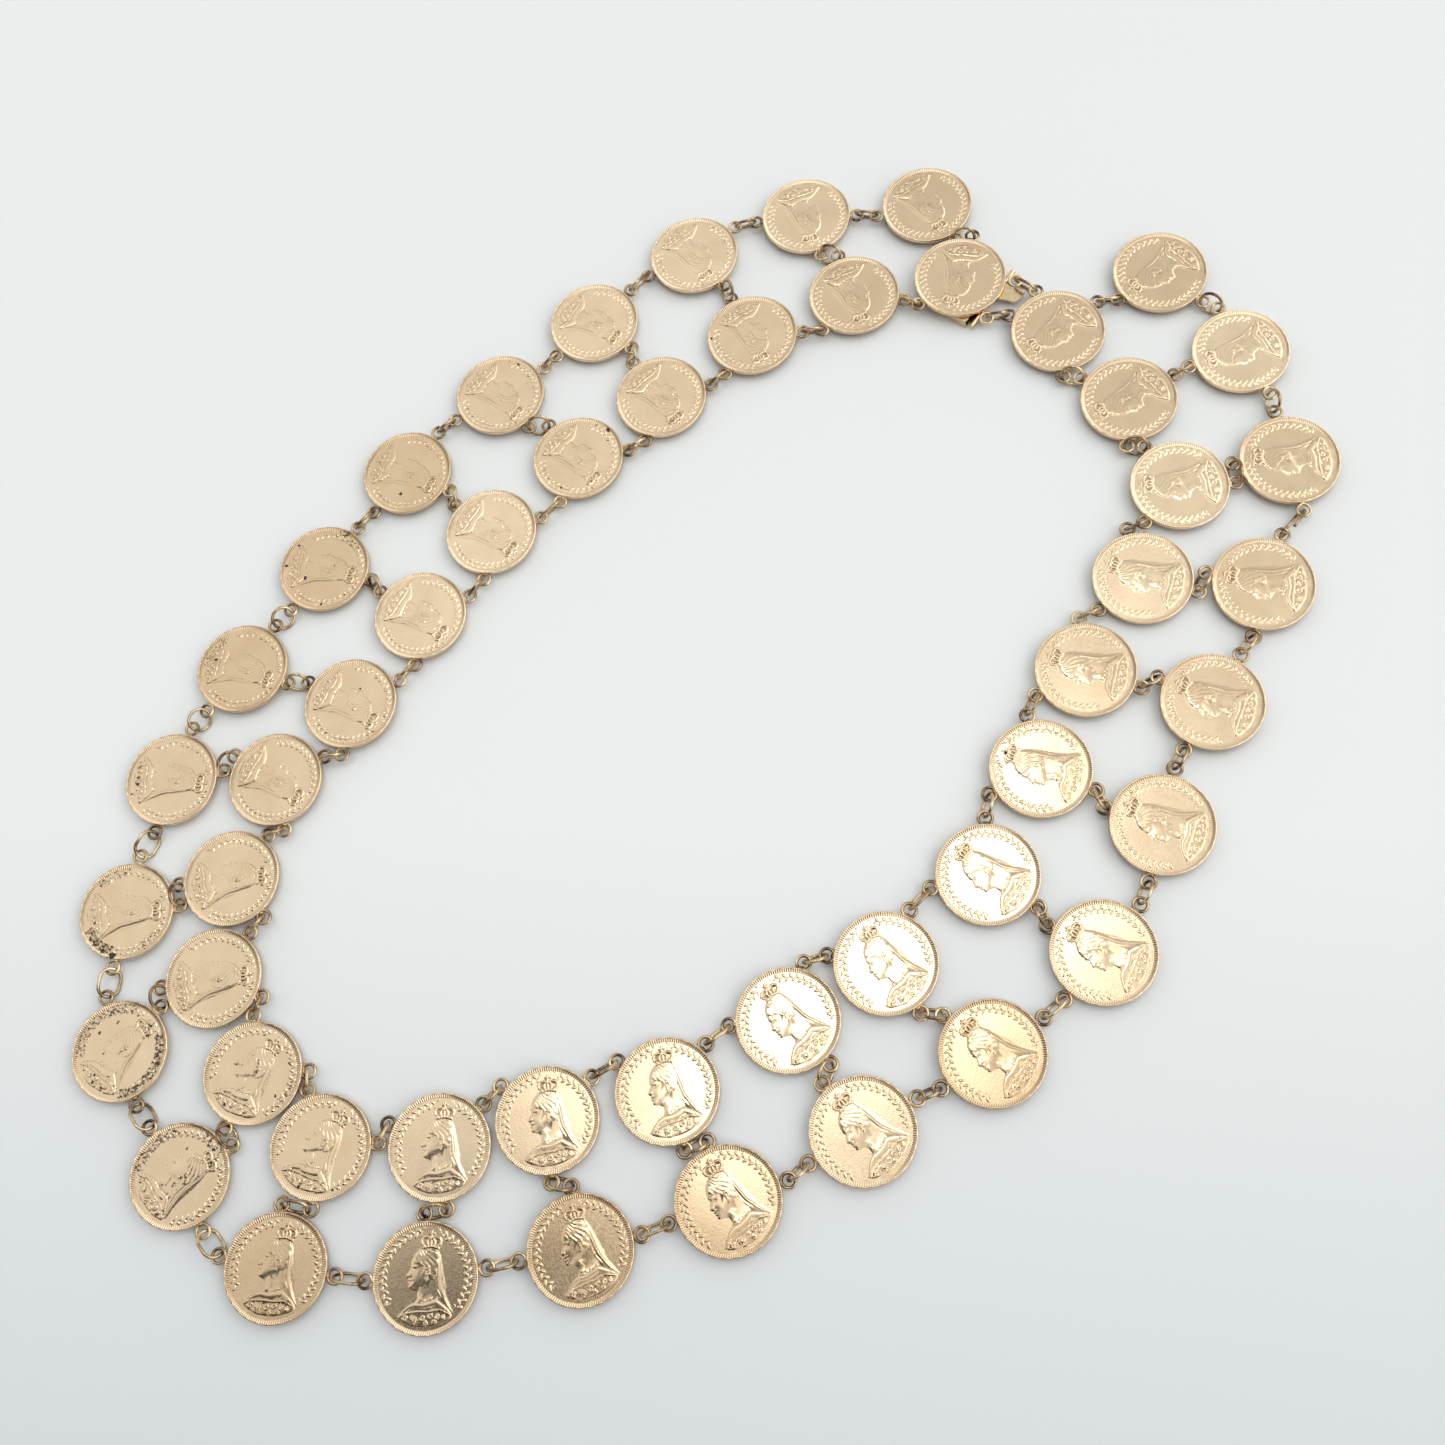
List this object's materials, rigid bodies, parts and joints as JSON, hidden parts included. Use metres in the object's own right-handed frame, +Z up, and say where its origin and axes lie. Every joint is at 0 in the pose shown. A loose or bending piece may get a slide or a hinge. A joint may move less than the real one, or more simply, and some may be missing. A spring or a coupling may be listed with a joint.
{
  "type": "coin necklace",
  "caption": "Collar necklace of small gilt coins with a veiled bust, an outer and an inner row joined by soldered loops and oval wire links, with a flat box clasp, laid flat.",
  "frame": {"origin": "middle of the collar's outline, on the surface it lies on", "axes": "+Z up from the surface, +Y towards the clasp at the back of the neck, the coins face up"},
  "size_m": [0.1638, 0.2344, 0.0039],
  "materials": {
    "gilt_coin": "gilt silver, worn and slightly frosted, with dark tarnish in places",
    "gilt_link": "gilt round wire, a little tarnished",
    "gilt_clasp": "gilt sheet and wire, smooth"
  },
  "bodies": {
    "root": {"outer_coin_01": "gilt_coin", "outer_coin_02": "gilt_coin", "outer_coin_03": "gilt_coin", "outer_coin_04": "gilt_coin", "outer_coin_05": "gilt_coin", "outer_coin_06": "gilt_coin", "outer_coin_07": "gilt_coin", "outer_coin_08": "gilt_coin", "outer_coin_09": "gilt_coin", "outer_coin_10": "gilt_coin", "outer_coin_11": "gilt_coin", "outer_coin_12": "gilt_coin", "outer_coin_13": "gilt_coin", "outer_coin_14": "gilt_coin", "outer_coin_15": "gilt_coin", "outer_coin_16": "gilt_coin", "outer_coin_17": "gilt_coin", "outer_coin_18": "gilt_coin", "outer_coin_19": "gilt_coin", "outer_coin_20": "gilt_coin", "outer_coin_21": "gilt_coin", "outer_coin_22": "gilt_coin", "outer_coin_23": "gilt_coin", "outer_coin_24": "gilt_coin", "outer_coin_25": "gilt_coin", "inner_coin_01": "gilt_coin", "inner_coin_02": "gilt_coin", "inner_coin_03": "gilt_coin", "inner_coin_04": "gilt_coin", "inner_coin_05": "gilt_coin", "inner_coin_06": "gilt_coin", "inner_coin_07": "gilt_coin", "inner_coin_08": "gilt_coin", "inner_coin_09": "gilt_coin", "inner_coin_10": "gilt_coin", "inner_coin_11": "gilt_coin", "inner_coin_12": "gilt_coin", "inner_coin_13": "gilt_coin", "inner_coin_14": "gilt_coin", "inner_coin_15": "gilt_coin", "inner_coin_16": "gilt_coin", "inner_coin_17": "gilt_coin", "inner_coin_18": "gilt_coin", "inner_coin_19": "gilt_coin", "inner_coin_20": "gilt_coin", "inner_coin_21": "gilt_coin", "inner_coin_22": "gilt_coin", "inner_coin_23": "gilt_coin", "inner_coin_24": "gilt_coin", "inner_coin_25": "gilt_coin", "outer_row_links": "gilt_link", "inner_row_links": "gilt_link", "cross_links": "gilt_link", "clasp_links": "gilt_link", "clasp_tongue": "gilt_clasp"}
  },
  "joints": []
}
